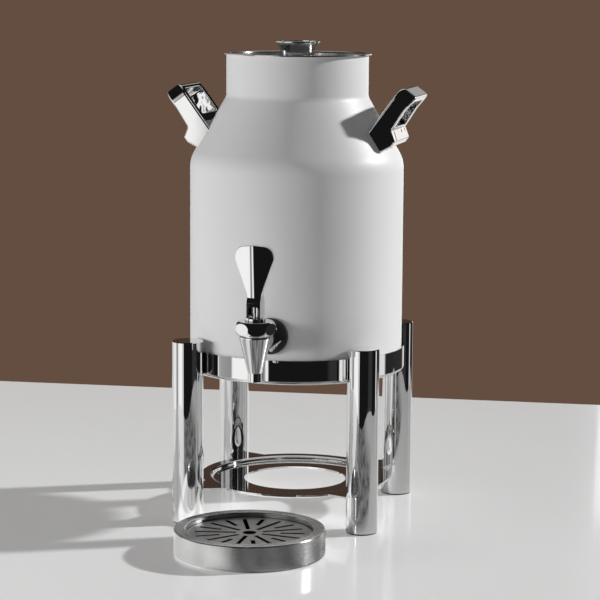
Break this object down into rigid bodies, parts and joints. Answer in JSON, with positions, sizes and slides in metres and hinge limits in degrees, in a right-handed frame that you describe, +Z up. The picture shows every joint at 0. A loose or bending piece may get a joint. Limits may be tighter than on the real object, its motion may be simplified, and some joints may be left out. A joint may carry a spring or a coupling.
{
  "type": "beverage urn",
  "caption": "Milk-can shaped beverage urn on a chrome post stand, with loop handles, a lift-off lid, a lever faucet and a round drip tray under the spout.",
  "frame": {"origin": "on the urn's vertical axis, at table level", "axes": "+Z up, -Y towards the faucet, +X to the right when looking at the faucet"},
  "size_m": [0.2766, 0.4125, 0.5206],
  "materials": {
    "chrome": "mirror plated",
    "white_coat": "satin white powder coat",
    "polished_steel": "polished",
    "brushed_steel": "brushed",
    "hardware": "plain stainless",
    "rubber": "matt black"
  },
  "bodies": {
    "stand": {"leg_front_left": "chrome", "leg_front_right": "chrome", "leg_rear_left": "chrome", "leg_rear_right": "chrome", "leg_cap_front_left": "chrome", "leg_cap_front_right": "chrome", "leg_cap_rear_left": "chrome", "leg_cap_rear_right": "chrome", "foot_pad_front_left": "rubber", "foot_pad_front_right": "rubber", "foot_pad_rear_left": "rubber", "foot_pad_rear_right": "rubber", "support_ring": "chrome", "burner_shelf": "chrome", "ring_screws": "hardware"},
    "urn": {"vessel": "white_coat", "handle_left": "chrome", "handle_right": "chrome", "handle_screws": "hardware", "handle_washers": "hardware", "faucet_shank": "chrome", "faucet_body": "chrome", "faucet_bonnet": "chrome", "bonnet_seal": "rubber", "outer_gasket": "rubber", "inner_gasket": "rubber", "shank_nut": "hardware", "valve_spring": "hardware"},
    "stem": {"valve_stem": "hardware", "seat_cup": "rubber"},
    "lever": {"faucet_lever": "chrome", "pivot_pin": "hardware"},
    "lid": {"lid_pan": "polished_steel", "lid_knob": "polished_steel", "knob_washer": "hardware", "knob_screw": "hardware"},
    "tray": {"drip_tray": "brushed_steel"},
    "grille": {"drip_grille": "brushed_steel"}
  },
  "joints": [
    {"name": "urn_lift", "type": "slide", "parent": "stand", "child": "urn", "axis": [0, 0, 1], "range_m": [0, 0.06]},
    {"name": "lid_lift", "type": "slide", "parent": "urn", "child": "lid", "axis": [0, 0, 1], "range_m": [0, 0.05]},
    {"name": "stem_lift", "type": "slide", "parent": "urn", "child": "stem", "axis": [0, 0, 1], "range_m": [0, 0.0039], "deforming": ["valve_spring"]},
    {"name": "lever_tilt", "type": "hinge", "parent": "stem", "child": "lever", "pos_m": [0, -0.1805, 0.2536], "axis": [1, 0, 0], "range_deg": [0, 40], "stiffness_Nm_per_rad": 0.038, "springref_deg": -51.57},
    {"name": "tray_slide", "type": "slide", "parent": "stand", "child": "tray", "axis": [0, -1, 0], "range_m": [0, 0.1]},
    {"name": "grille_lift", "type": "slide", "parent": "tray", "child": "grille", "axis": [0, 0, 1], "range_m": [0, 0.03]}
  ],
  "couplings": [
    {"joint": "stem_lift", "follows": "lever_tilt", "m_per_rad": 0.0055}
  ]
}
